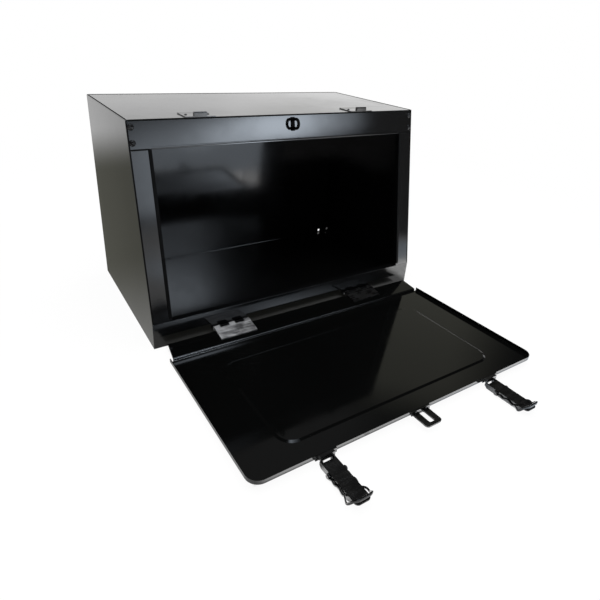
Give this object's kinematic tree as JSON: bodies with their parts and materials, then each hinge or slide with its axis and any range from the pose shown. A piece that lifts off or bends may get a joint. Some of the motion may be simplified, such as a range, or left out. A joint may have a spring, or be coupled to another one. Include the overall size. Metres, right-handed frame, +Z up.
{
  "type": "storage box with drop-down door",
  "caption": "Glossy black steel storage box with a leaning front, a drop-down front door on hinges, sprung draw latches, and a padlock hasp and staple.",
  "frame": {"origin": "centre of the box's footprint, on the floor it stands on", "axes": "+X to the box's right seen from the front, +Y toward its back, +Z up; the door drops open toward -Y"},
  "size_m": [0.61, 0.7872, 0.3985],
  "materials": {
    "black_enamel": "gloss",
    "black_hardware": "gloss",
    "black_screws": "gloss",
    "zinc_fittings": "satin",
    "edge_trim": "matte"
  },
  "bodies": {
    "box": {"left_end_panel": "black_enamel", "right_end_panel": "black_enamel", "top_panel": "black_enamel", "back_panel": "black_enamel", "bottom_panel": "black_enamel", "top_rail": "black_enamel", "bottom_rail": "black_enamel", "left_stile": "black_enamel", "right_stile": "black_enamel", "stile_trim": "edge_trim", "rail_screws": "black_screws", "padlock_staple": "black_hardware", "strike_rivets": "black_hardware", "left_strike": "black_enamel", "left_hinge_fixed_leaf": "black_hardware", "left_hinge_pin": "zinc_fittings", "right_strike": "black_enamel", "right_hinge_fixed_leaf": "black_hardware", "right_hinge_pin": "zinc_fittings"},
    "door": {"door_pan": "black_enamel", "hasp_plate": "black_hardware", "hasp_rivets": "zinc_fittings", "latch_rivets": "black_hardware", "left_hinge_door_leaf": "zinc_fittings", "left_latch_base": "black_hardware", "left_latch_pins": "black_hardware", "right_hinge_door_leaf": "zinc_fittings", "right_latch_base": "black_hardware", "right_latch_pins": "black_hardware"},
    "left_lever": {"left_latch_lever": "black_hardware", "left_bail_pins": "black_hardware"},
    "left_bail": {"left_latch_bail": "black_hardware"},
    "right_lever": {"right_latch_lever": "black_hardware", "right_bail_pins": "black_hardware"},
    "right_bail": {"right_latch_bail": "black_hardware"}
  },
  "joints": [
    {"name": "door_hinge", "type": "hinge", "parent": "box", "child": "door", "pos_m": [0, -0.1778, 0.0128], "axis": [1, 0, 0], "range_deg": [-99.19, 0]},
    {"name": "left_lever_turn", "type": "hinge", "parent": "door", "child": "left_lever", "pos_m": [-0.18, -0.53702, 0.00476], "axis": [1, 0, 0], "range_deg": [0, 180]},
    {"name": "left_bail_turn", "type": "hinge", "parent": "left_lever", "child": "left_bail", "pos_m": [-0.18, -0.55602, 0.00529], "axis": [1, 0, 0], "range_deg": [-193.2, 0]},
    {"name": "right_lever_turn", "type": "hinge", "parent": "door", "child": "right_lever", "pos_m": [0.166, -0.53702, 0.00476], "axis": [1, 0, 0], "range_deg": [0, 180]},
    {"name": "right_bail_turn", "type": "hinge", "parent": "right_lever", "child": "right_bail", "pos_m": [0.166, -0.55602, 0.00529], "axis": [1, 0, 0], "range_deg": [-193.2, 0]}
  ],
  "couplings": [
    {"joint": "left_bail_turn", "follows": "left_lever_turn", "ratio": -1.0733},
    {"joint": "right_bail_turn", "follows": "right_lever_turn", "ratio": -1.0733}
  ]
}
